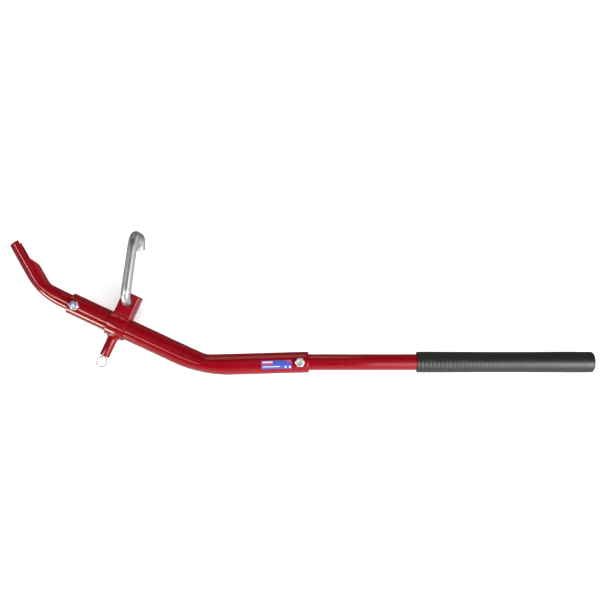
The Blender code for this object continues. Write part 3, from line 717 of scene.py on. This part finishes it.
def make_bracket(finish):
    """A square tube standing on the sleeve: X along the sleeve, Y up it, Z to the front."""

    def level(inset, height):
        """An outline at a height, or standing on the sleeve where the height is None."""
        width = BRACKET_WIDTH - 2 * inset
        depth = BRACKET_DEPTH - 2 * inset
        loop = []
        for x, z in rounded_rectangle(width, depth, BRACKET_CORNER - inset):
            foot = math.sqrt((SLEEVE_RADIUS - SUNK) ** 2 - z * z)
            loop.append(Vector((BRACKET_X + x, foot if height is None else height, z)))
        return loop

    top = BRACKET_TOP
    lowest = 0.028
    steps = 10
    loops = [level(0, None)]
    loops += [level(0, top - EASE - (top - lowest) * (1 - i / steps)) for i in range(steps + 1)]
    for k in range(1, EDGE_STEPS + 1):
        angle = QUARTER * k / EDGE_STEPS
        loops.append(level(EASE * (1 - math.cos(angle)), top - EASE * (1 - math.sin(angle))))
    for k in range(EDGE_STEPS + 1):
        angle = QUARTER * (1 - k / EDGE_STEPS)
        inset = BRACKET_WALL - EASE * (1 - math.cos(angle))
        loops.append(level(inset, top - EASE * (1 - math.sin(angle))))
    loops.append(level(BRACKET_WALL, None))
    mesh = skinned("hook_bracket", loops, closed=True)
    hole = bore(PIVOT_HOLE, 2 * BRACKET_DEPTH, Matrix.Translation(PIVOT_AT))
    piece("hook_bracket", carved(mesh, [hole]), COLLAR, "collar", finish)


def make_weld(name, side, finish):
    """A bead between the bracket's face and the sleeve, laid in overlapping ripples."""
    bead = 0.0026
    ripple_rise = 0.0007
    looseness = 0.0005
    least = 0.02
    long_way = 1.25
    short_way = 0.8
    face = BRACKET_DEPTH / 2
    corner_y = math.sqrt(SLEEVE_RADIUS**2 - face**2)
    half = BRACKET_WIDTH / 2 - 0.0015
    ripples = 13
    count = ripples * 8
    sides = 20
    heading = math.atan2(face, corner_y)
    loops = []
    wander = [RANDOM.uniform(-1, 1) for _ in range(ripples + 1)]
    for i in range(count + 1):
        share = i / count
        along = share * ripples
        cell = min(int(along), ripples - 1)
        blend = along - cell
        loose = wander[cell] * (1 - blend) + wander[cell + 1] * blend
        ripple = (1 - blend) ** 0.5 * ripple_rise
        end = min(1, math.sin(math.pi * share) * 9) ** 0.5
        size = (bead + ripple + looseness * loose) * max(end, least)
        x = BRACKET_X - half + 2 * half * share
        centre = Vector((x, corner_y + 0.0006, side * (face + 0.0003 + looseness * loose)))
        loop = []
        for k in range(sides):
            angle = 2 * math.pi * k / sides
            stretch = long_way * size
            y = stretch * math.cos(angle)
            z = size * math.sin(angle) * short_way
            turned_y = y * math.cos(heading / 2) - z * math.sin(heading / 2)
            turned_z = y * math.sin(heading / 2) + z * math.cos(heading / 2)
            loop.append(centre + Vector((0, turned_y, side * -turned_z)))
        loops.append(loop)
    ends = [[sum(loop, Vector()) / sides] for loop in (loops[0], loops[-1])]
    mesh = skinned(name, [ends[0]] + loops + [ends[1]])
    piece(name, mesh, COLLAR, "collar", finish)


def sleeve_height(radius, angle):
    """How far out the sleeve's skin is, at this distance and turn about the plunger's axis."""
    return math.sqrt(SLEEVE_RADIUS**2 - (radius * math.sin(angle)) ** 2)


def make_barrel(finish):
    foot = SLEEVE_RADIUS - 0.0035
    outline = [(BARREL_BORE, BARREL_END), (BARREL_RADIUS, BARREL_END)]
    outline += [(BARREL_RADIUS, foot), (BARREL_BORE, foot)]
    mesh = lathe("plunger_barrel", fillet(outline, 0.0008))
    piece("plunger_barrel", mesh, PLUNGER, "collar", finish)

    steps = 12
    lumps = 17
    lump = 0.00022
    start = BARREL_RADIUS - 0.0002
    wander = [RANDOM.uniform(0, 2 * math.pi) for _ in range(3)]
    loops = []
    for i in range(steps + 1):
        share = i / steps
        loop = []
        for k in range(SIDES):
            angle = 2 * math.pi * k / SIDES
            uneven = 1 + 0.10 * math.sin(2 * angle + wander[0])
            uneven += 0.07 * math.sin(5 * angle + wander[1])
            ripple = lump * math.cos(lumps * angle + 2.5 * share) * math.sin(math.pi * share)
            radius = start + BARREL_WELD_WIDTH * share**1.25 * uneven
            swell = BARREL_WELD_HEIGHT * uneven * (1 - share) ** 1.7
            height = sleeve_height(radius, angle) - SUNK + swell + ripple
            loop.append(Vector((radius * math.cos(angle), radius * math.sin(angle), height)))
        loops.append(loop)
    inside = [p * (start / Vector((p.x, p.y)).length) for p in loops[-1]]
    loops.append([Vector((p.x, p.y, SLEEVE_RADIUS - 0.004)) for p in inside])
    mesh = skinned("barrel_weld", loops, closed=True)
    piece("barrel_weld", mesh, PLUNGER, "collar", finish)


def make_collar(finish, zinc, spring_steel):
    half = SLEEVE_LENGTH / 2
    outline = [(SLEEVE_RADIUS, half), (SLEEVE_RADIUS, 0, 0), (SLEEVE_RADIUS, -half)]
    outline += [(SLEEVE_BORE, -half), (SLEEVE_BORE, half)]
    mesh = lathe("collar_sleeve", fillet(outline, 0.0009))
    mesh.transform(ALONG_X)
    underside = shift(0, -SLEEVE_RADIUS) @ Matrix.Rotation(QUARTER, 4, "X")
    hole = bore(NOSE_HOLE, SLEEVE_RADIUS, underside)
    piece("collar_sleeve", carved(mesh, [hole]), COLLAR, "collar", finish)
    make_bracket(finish)
    make_weld("bracket_weld_front", 1, finish)
    make_weld("bracket_weld_back", -1, finish)
    make_barrel(finish)
    outline = [(BUSH_BORE, BUSH_HIGH), (SHOULDER_RADIUS, BUSH_HIGH)]
    outline += [(SHOULDER_RADIUS, BUSH_LOW), (BUSH_BORE, BUSH_LOW)]
    mesh = lathe("plunger_bush", fillet(outline, 0.0004), SMALL_SIDES)
    piece("plunger_bush", mesh, PLUNGER, "collar", zinc)

    low = SHOULDER_FAR + GAP + SPRING_WIRE / 2
    high = BUSH_LOW - GAP - SPRING_WIRE / 2
    radius = SHOULDER_RADIUS - SPRING_WIRE / 2
    per_turn = 32
    count = round(SPRING_TURNS * per_turn)
    path = []
    for i in range(count + 1):
        angle = 2 * math.pi * i / per_turn
        height = low + (high - low) * i / count
        path.append((radius * math.cos(angle), radius * math.sin(angle), height))
    mesh = sweep("plunger_spring", path, SPRING_WIRE / 2, 12)
    spring = piece("plunger_spring", mesh, PLUNGER, "collar", spring_steel)
    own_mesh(spring)


def make_plunger(zinc, wire):
    nose = LEVER_RADIUS + GAP
    edge = 0.0003
    outline = [(0, TAIL_END, 0), (TAIL_RADIUS, TAIL_END, 0.0008)]
    outline += [(TAIL_RADIUS, SHOULDER_FAR, edge), (SHOULDER_RADIUS, SHOULDER_FAR, edge)]
    outline += [(SHOULDER_RADIUS, SHOULDER_NEAR, edge), (NOSE_RADIUS, SHOULDER_NEAR, edge)]
    outline += [(NOSE_RADIUS, nose, 0.0015), (0, nose, 0)]
    mesh = lathe("plunger_pin", fillet(outline, closed=False, steps=5), SMALL_SIDES, closed=False)
    hole = bore(TAIL_HOLE, 0.02, shift(0, 0, TAIL_HOLE_AT) @ ALONG_X)
    piece("plunger_pin", carved(mesh, [hole]), PLUNGER, "plunger", zinc)

    # A wire ring whose ends nearly meet.
    start = math.radians(62)
    opening = 0.05
    turns = [start + (2 * math.pi - opening) * i / SIDES for i in range(SIDES + 1)]
    path = [(RING_MEAN * math.cos(a), 0, RING_MEAN + RING_MEAN * math.sin(a)) for a in turns]
    mesh = sweep("pull_ring", path, RING_WIRE, 20, 0.0002)
    piece("pull_ring", mesh, RING, "ring", wire)


# Hook


def hook_path():
    """The bar's axis: Y along the shank, Z up, the pivot on the lower leg."""
    hub = SHANK_AT - HOOK_BEND
    far = HOOK_REACH - HOOK_BEND
    straight = 12
    bend = 28
    path = [(0, HOOK_TAIL_AT + (hub - HOOK_TAIL_AT) * i / straight) for i in range(straight)]
    path += arc((HOOK_BEND, hub), HOOK_BEND, math.pi, QUARTER, bend)
    path += [(HOOK_BEND + (far - HOOK_BEND) * i / straight, SHANK_AT) for i in range(1, straight)]
    path += arc((far, hub), HOOK_BEND, QUARTER, 0, bend)
    path += arc((far, -HOOK_LEG_DROP), HOOK_BEND, 0, -HOOK_TIP_TURN, 20)
    y, z = path[-1]
    for i in range(1, HOOK_TIP_STEPS + 1):
        on = HOOK_TIP_LENGTH * i / HOOK_TIP_STEPS
        path.append((y - on * math.sin(HOOK_TIP_TURN), z - on * math.cos(HOOK_TIP_TURN)))
    return [(0, y, z) for y, z in path]


def make_hook(bar_finish, zinc):
    path = hook_path()

    def rolled(i):
        """A shallow groove rolled round the bar near its tip."""
        from_tip = len(path) - 1 - i
        factor = 0.968 if 7 <= from_tip <= 8 else 1
        return factor, factor

    mesh = sweep("hook", path, HOOK_RADIUS, SMALL_SIDES, 0.0014, rolled)
    pin = Matrix.Translation((0, 0, SPLIT_PIN_AT))
    play = 0.0004
    hole = bore(SPLIT_PIN_RADIUS + play, 0.04, pin @ ALONG_X)
    piece("hook", carved(mesh, [hole]), HOOK, "hook", bar_finish)

    inner = HOOK_RADIUS + GAP
    outline = [(inner, WASHER_HIGH), (WASHER_RADIUS, WASHER_HIGH)]
    outline += [(WASHER_RADIUS, WASHER_LOW), (inner, WASHER_LOW)]
    mesh = lathe("hook_washer", fillet(outline, 0.0005))
    piece("hook_washer", mesh, HOOK, "hook", zinc)

    # A split pin: two legs side by side through the bar, an eye at one end, the tips bent apart.
    wire = SPLIT_PIN_RADIUS / 2
    reach = HOOK_RADIUS + 0.0035
    eye = 0.0036
    legs = [(reach + 0.0045, 0.0048), (reach + 0.0022, 0.0022), (reach, wire), (-reach, wire)]
    middle = -reach - eye
    loop = arc((middle, 0), eye, math.radians(35), math.radians(325), 30)
    path = legs + loop + [(x, -y * 0.9) for x, y in legs[::-1]]
    mesh = sweep("hook_split_pin", [(x, y, 0) for x, y in path], wire * 0.97, 16)
    piece("hook_split_pin", mesh, HOOK @ pin, "hook", zinc)


# Materials


def grey(level):
    return level, level, level


def map_range(tree, value, start, end, low, high):
    """The value from start to end, stretched over low to high."""
    node = tree.nodes.new("ShaderNodeMapRange")
    names = ("From Min", "From Max", "To Min", "To Max")
    for name, number in zip(names, (start, end, low, high)):
        node.inputs[name].default_value = number
    tree.links.new(value, node.inputs["Value"])
    return node.outputs["Result"]


class Shader:
    """A material's nodes, with a Principled BSDF to link into."""

    def __init__(self, name, **values):
        self.material = bpy.data.materials.new(name)
        self.material.use_nodes = True
        self.tree = self.material.node_tree
        self.bsdf = self.tree.nodes["Principled BSDF"]
        self.coords = self.tree.nodes.new("ShaderNodeTexCoord").outputs["Object"]
        for socket, value in values.items():
            self.bsdf.inputs[socket.replace("_", " ")].default_value = value

    def noise(self, scale, detail=3.0, roughness=0.5, stretch=(1, 1, 1), turn=0.0):
        """Noise, drawn out by the stretch along axes turned about Z."""
        mapping = self.tree.nodes.new("ShaderNodeMapping")
        mapping.vector_type = "TEXTURE"
        mapping.inputs["Scale"].default_value = stretch
        mapping.inputs["Rotation"].default_value = (0, 0, turn)
        self.tree.links.new(self.coords, mapping.inputs["Vector"])
        texture = self.tree.nodes.new("ShaderNodeTexNoise")
        texture.inputs["Scale"].default_value = scale
        texture.inputs["Detail"].default_value = detail
        texture.inputs["Roughness"].default_value = roughness
        self.tree.links.new(mapping.outputs["Vector"], texture.inputs["Vector"])
        return texture.outputs["Fac"]

    def spread(self, value, low, high, from_low=0.3, from_high=0.7):
        """A noise's middle range, stretched over low to high."""
        return map_range(self.tree, value, from_low, from_high, low, high)

    def mix(self, share, first, second):
        """Colours, or the output of another mix, mixed by a value."""
        node = self.tree.nodes.new("ShaderNodeMix")
        node.data_type = "RGBA"
        self.tree.links.new(share, node.inputs["Factor"])
        for socket, colour in ((node.inputs[6], first), (node.inputs[7], second)):
            if isinstance(colour, tuple):
                socket.default_value = (*colour, 1)
            else:
                self.tree.links.new(colour, socket)
        return node.outputs[2]

    def mottled(self, noise, first, second):
        """Two colours, mixed by a noise."""
        return self.mix(self.spread(noise, 0, 1), first, second)

    def link(self, value, socket):
        self.tree.links.new(value, self.bsdf.inputs[socket])

    def roughen(self, noise, low, high):
        self.link(self.spread(noise, low, high), "Roughness")

    def bump(self, height, distance, strength, under=None):
        node = self.tree.nodes.new("ShaderNodeBump")
        node.inputs["Strength"].default_value = strength
        node.inputs["Distance"].default_value = distance
        self.tree.links.new(height, node.inputs["Height"])
        if under:
            self.tree.links.new(under, node.inputs["Normal"])
        self.link(node.outputs["Normal"], "Normal")
        return node.outputs["Normal"]

    def edges(self, low, high):
        """1 on convex edges, 0 elsewhere."""
        geometry = self.tree.nodes.new("ShaderNodeNewGeometry")
        return self.spread(geometry.outputs["Pointiness"], 0, 1, low, high)


def red_paint():
    """Gloss powder coat: an even deep red with orange peel, its convex edges painted lighter for
    worn thin paint and for a painted edge highlight.
    """
    s = Shader("red_powder_coat", IOR=1.5)
    broad = s.spread(s.noise(14, 3), 0, 1)
    fine = s.spread(s.noise(260, 4), 0, 1)
    colour = s.mix(broad, (0.190, 0.0005, 0.0046), (0.208, 0.0009, 0.0060))
    colour = s.mix(s.spread(fine, 0, 0.2, 0, 1), colour, (0.172, 0.0007, 0.0046))
    # convex edges painted lighter: partly worn thin paint, partly a painted highlight along the
    # edge
    edge_wear_and_highlight = s.mix(s.edges(0.535, 0.60), colour, (0.33, 0.012, 0.016))
    s.link(edge_wear_and_highlight, "Base Color")
    s.roughen(s.noise(46, 4), 0.10, 0.16)
    peel = s.bump(s.noise(420, 2), 0.00004, 0.5)
    s.bump(s.noise(55, 2), 0.00022, 0.45, peel)
    return s.material


def zinc_plate():
    """Bright zinc with a faint rainbow tint, duller where handled."""
    s = Shader("zinc_plate", Metallic=0.72)
    tint = s.mottled(s.noise(180, 2), (0.70, 0.70, 0.67), (0.57, 0.61, 0.70))
    tint = s.mix(s.spread(s.noise(420, 4), 0, 0.5), tint, (0.50, 0.48, 0.46))
    s.link(s.mix(s.edges(0.52, 0.60), tint, grey(0.90)), "Base Color")
    s.roughen(s.noise(350, 4), 0.22, 0.38)
    s.bump(s.noise(900, 3), 0.00003, 0.6)
    return s.material


def galvanised():
    """A plated bar, drawn lengthwise: fine streaks, dull grey patches and darker specks."""
    s = Shader("galvanised_bar", Metallic=0.95)
    patches = s.spread(s.noise(38, 4, 0.6), 0, 1, 0.35, 0.68)
    speckle = s.spread(s.noise(520, 3, 0.6), 0, 1)
    colour = s.mix(patches, (0.80, 0.81, 0.82), (0.65, 0.66, 0.67))
    colour = s.mix(s.spread(speckle, 0, 0.22, 0, 1), colour, (0.40, 0.40, 0.41))
    s.link(colour, "Base Color")
    s.link(s.spread(patches, 0.28, 0.39, 0, 1), "Roughness")
    lengthwise = s.noise(900, 2, 0.5, (1, 16, 1), HOOK.to_euler().z)
    streaks = s.bump(lengthwise, 0.00003, 0.5)
    s.bump(s.noise(240, 4), 0.00008, 0.5, streaks)
    return s.material


def rubber():
    """Soft black rubber, satin, with a fine grain and faint dust."""
    s = Shader("black_grip_rubber", IOR=1.52, Specular_IOR_Level=0.85)
    colour = s.mottled(s.noise(90, 5, 0.6), grey(0.0045), grey(0.0085))
    dust = s.spread(s.noise(700, 4, 0.7), 0, 0.5, 0.45, 0.75)
    s.link(s.mix(dust, colour, grey(0.024)), "Base Color")
    s.roughen(s.noise(60, 4), 0.36, 0.47)
    s.bump(s.noise(1500, 3, 0.6), 0.00004, 0.7)
    return s.material


def nylon():
    s = Shader("blue_nylon_ring", IOR=1.53)
    s.link(s.mottled(s.noise(500, 3), (0.03, 0.05, 0.42), (0.05, 0.09, 0.52)), "Base Color")
    s.roughen(s.noise(900, 2), 0.35, 0.5)
    s.bump(s.noise(1200, 2), 0.00002, 0.5)
    return s.material


def vinyl(name, colour, darker):
    """Printed film with slight unevenness in the ink and in how it lies."""
    s = Shader(name, IOR=1.49)
    s.link(s.mottled(s.noise(300, 3), darker, colour), "Base Color")
    s.roughen(s.noise(160, 3), 0.30, 0.42)
    s.bump(s.noise(120, 2), 0.00004, 0.5)
    return s.material


def bright_wire():
    """Bare wire, polished by handling, grey against the paper."""
    s = Shader("bright_wire", Metallic=1.0)
    s.link(s.mottled(s.noise(300, 3), grey(0.20), grey(0.34)), "Base Color")
    s.roughen(s.noise(500, 3), 0.16, 0.3)
    s.bump(s.noise(800, 2), 0.00002, 0.5)
    return s.material


def oiled_steel():
    s = Shader("oiled_spring_steel", Metallic=1.0)
    s.link(s.mottled(s.noise(300, 3), (0.28, 0.27, 0.26), (0.42, 0.41, 0.40)), "Base Color")
    s.roughen(s.noise(500, 3), 0.22, 0.4)
    return s.material


def floor_paper():
    """White paper, lit a little from behind, so that shadows on it stay faint."""
    s = Shader("studio_paper", Emission_Color=(1, 1, 1, 1), Emission_Strength=0.2)
    s.link(s.mottled(s.noise(3, 3), grey(0.93), grey(0.95)), "Base Color")
    s.roughen(s.noise(40, 3), 0.75, 0.9)
    s.bump(s.noise(900, 3), 0.00003, 0.3)
    return s.material


def wall_paint():
    s = Shader("studio_wall", Emission_Color=(1, 1, 1, 1), Emission_Strength=0.55)
    s.link(s.mottled(s.noise(2, 3), grey(0.60), grey(0.64)), "Base Color")
    s.roughen(s.noise(30, 3), 0.75, 0.9)
    return s.material


# Stage


def make_floor():
    """Paper just under the tool. Gloss doesn't see it, so undersides don't turn white."""
    half_width = 6
    below = 0.0005
    bm = bmesh.new()
    bmesh.ops.create_grid(bm, x_segments=8, y_segments=8, size=half_width)
    mesh = finished(bm, "floor")
    floor = bpy.data.objects.new("floor", mesh)
    floor.location.z = -below
    floor.visible_glossy = False
    mesh.materials.append(floor_paper())
    bpy.context.scene.collection.objects.link(floor)


def make_wall():
    """A pale round wall at the floor's edge: a background that lights and shades nothing."""
    radius = 5.9
    foot = -0.001
    top = 6.0
    loops = [circle(radius, height, SIDES) for height in (foot, top)]
    bm = bmesh.new()
    low, high = [[bm.verts.new(point) for point in loop] for loop in loops]
    for i in range(SIDES):
        j = (i + 1) % SIDES
        bm.faces.new((low[j], low[i], high[i], high[j]))
    mesh = finished(bm, "wall")
    wall = bpy.data.objects.new("wall", mesh)
    wall.visible_diffuse = False
    wall.visible_glossy = False
    wall.visible_shadow = False
    mesh.materials.append(wall_paint())
    bpy.context.scene.collection.objects.link(wall)


def softbox(name, centre, aim, length, height, radiance, along=(1, 0, 0), colour=(1, 1, 1)):
    """A rectangular light that faces aim, its length as near as it can be to a direction."""
    light = bpy.data.lights.new(name, "AREA")
    light.shape = "RECTANGLE"
    light.size = length
    light.size_y = height
    light.energy = radiance * math.pi * length * height
    light.color = colour
    obj = bpy.data.objects.new(name, light)
    along = Vector(along)
    back = (Vector(centre) - Vector(aim)).normalized()
    side = (along - back * along.dot(back)).normalized()
    up = back.cross(side)
    turned = Matrix((side, up, back)).transposed().to_4x4()
    obj.matrix_world = Matrix.Translation(centre) @ turned
    bpy.context.scene.collection.objects.link(obj)
    return obj


def make_surroundings():
    """A dark ceiling over a room that is bright to the front and sides and dim behind."""
    world = bpy.data.worlds.new("studio")
    bpy.context.scene.world = world
    world.use_nodes = True
    tree = world.node_tree

    def maths(operation, first, second):
        node = tree.nodes.new("ShaderNodeMath")
        node.operation = operation
        tree.links.new(first, node.inputs[0])
        tree.links.new(second, node.inputs[1])
        return node.outputs[0]

    coords = tree.nodes.new("ShaderNodeTexCoord")
    split = tree.nodes.new("ShaderNodeSeparateXYZ")
    tree.links.new(coords.outputs["Generated"], split.inputs["Vector"])
    x, y, z = split.outputs
    left = map_range(tree, x, -0.45, -0.8, 0.0, 0.38)
    right = map_range(tree, x, 0.45, 0.8, 0.0, 0.6)
    front = map_range(tree, y, 0.1, -0.6, 0.12, 0.8)
    ceiling = map_range(tree, z, 0.75, 0.05, 0.0, 1.0)
    around = maths("MAXIMUM", maths("MAXIMUM", left, right), front)
    level = maths("MULTIPLY", around, ceiling)
    tree.links.new(level, tree.nodes["Background"].inputs["Strength"])
    tree.nodes["Background"].inputs["Color"].default_value = (1, 1, 1, 1)


def make_lights():
    """Two soft lights give the colours, and the rest are shapes seen only in the gloss."""
    make_surroundings()
    middle = Vector((0, -0.05, 0.04))
    aim = Vector((0.3, -0.05, 0.04))
    toe = (-0.5, 0, 0)
    along_arm = ARM.to_3x3() @ Vector((1, 0, 0))
    along_toe = (1, -0.11, 0)
    warm = (1, 1, 0.78)
    softbox("key", (0.8, -1.8, 1.3), aim, 2.4, 1.4, 9.2).visible_glossy = False
    softbox("top", (0.5, 0.45, 2.6), aim, 3.4, 2.2, 3.7).visible_glossy = False
    shapes = [
        softbox("back_panel", (-0.35, 4.0, 1.12), middle, 0.8, 2.3, 1.1, colour=warm),
        softbox("front_panel", (0.83, -1.04, 1.47), middle, 1.5, 1.9, 2.2),
        softbox("grip_strip", (1.55, -0.86, 1.6), middle, 1.1, 0.6, 9),
        softbox("arm_strip", (-0.86, -0.66, 1.54), middle, 0.26, 0.14, 8, along_arm, warm),
        softbox("arm_strip_left", (-1.20, -0.51, 1.54), middle, 0.45, 0.16, 20, along_arm, warm),
        softbox("arm_low_strip", (-1.95, -1.42, 0.24), middle, 0.95, 0.44, 22, along_arm, warm),
        softbox("toe_strip", (-1.52, -0.125, 1.54), toe, 1.05, 0.09, 20, along_toe),
    ]
    for shape in shapes:
        shape.visible_diffuse = False


def make_camera():
    """Straight down on the tool, from 1.56 m above its middle plane."""
    camera = bpy.data.cameras.new("camera")
    camera.sensor_width = 36
    camera.lens = 46.18
    camera.shift_x = 0.0066
    camera.shift_y = 0.0592
    obj = bpy.data.objects.new("camera", camera)
    obj.location = (-0.00345, -0.0726, 1.6025)
    bpy.context.scene.collection.objects.link(obj)
    bpy.context.scene.camera = obj


def make_tool():
    red = red_paint()
    zinc = zinc_plate()
    blue = nylon()
    make_lever(red)
    make_toe(red)
    make_handle(red, rubber())
    make_bolt("toe", ARM @ shift(-TOE_BOLT_X) @ OVER, HEX_TURN_TOE, zinc, blue)
    make_bolt("handle", HANDLE_BOLT @ turn_z(-LEVER_BEND), HEX_TURN_HANDLE, zinc, blue)
    make_label([
        vinyl("label_edge", (0.24, 0.02, 0.08), (0.20, 0.015, 0.06)),
        vinyl("label_blue", (0.020, 0.060, 0.36), (0.016, 0.050, 0.31)),
        vinyl("label_white", (0.62, 0.62, 0.64), (0.55, 0.55, 0.58)),
        vinyl("label_red", (0.55, 0.035, 0.03), (0.50, 0.03, 0.025)),
    ])
    make_collar(red, zinc, oiled_steel())
    make_plunger(zinc, bright_wire())
    make_hook(galvanised(), zinc)


make_camera()
make_tool()
make_floor()
make_wall()
make_lights()
bpy.context.scene.view_settings.view_transform = "Standard"
